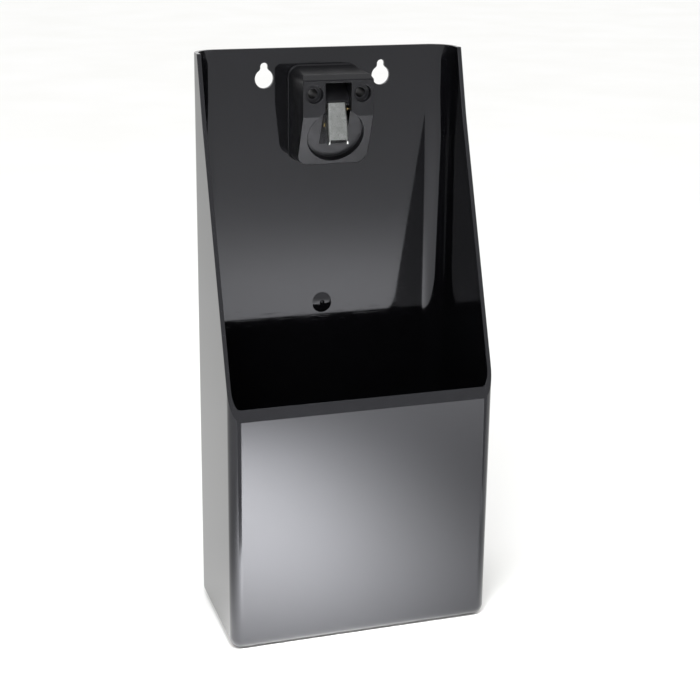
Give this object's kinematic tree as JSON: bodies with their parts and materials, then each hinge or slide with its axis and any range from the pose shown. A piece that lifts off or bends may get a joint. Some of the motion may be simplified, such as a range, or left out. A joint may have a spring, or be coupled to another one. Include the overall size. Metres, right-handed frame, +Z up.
{
  "type": "wall mounted bottle opener with cap catcher",
  "caption": "Wall mounted bottle opener: a moulded head with a round cap recess and a sprung steel tooth, on a tall open bin that catches the caps.",
  "frame": {"origin": "on the wall plane, midway between the round entries of the two hanging keyholes", "axes": "+X to the right seen from the front, +Y into the wall, +Z up"},
  "size_m": [0.16, 0.09, 0.34],
  "materials": {
    "bin_plastic": "high gloss moulded",
    "head_plastic": "satin moulded",
    "tooth_steel": "brushed stainless sheet",
    "pin_steel": "ground",
    "spring_steel": "drawn wire",
    "screw_steel": "zinc plated"
  },
  "bodies": {
    "catcher": {"catcher_bin": "bin_plastic", "opener_head": "head_plastic", "hinge_pin": "pin_steel", "tooth_spring": "spring_steel", "head_screws": "screw_steel"},
    "tooth": {"tooth": "tooth_steel"}
  },
  "joints": [
    {"name": "tooth_press", "type": "hinge", "parent": "catcher", "child": "tooth", "pos_m": [0, -0.026, -0.01628], "axis": [1, 0, 0], "range_deg": [0, 30], "stiffness_Nm_per_rad": 0.06, "springref_deg": -34.38, "deforming": ["tooth_spring"]}
  ]
}
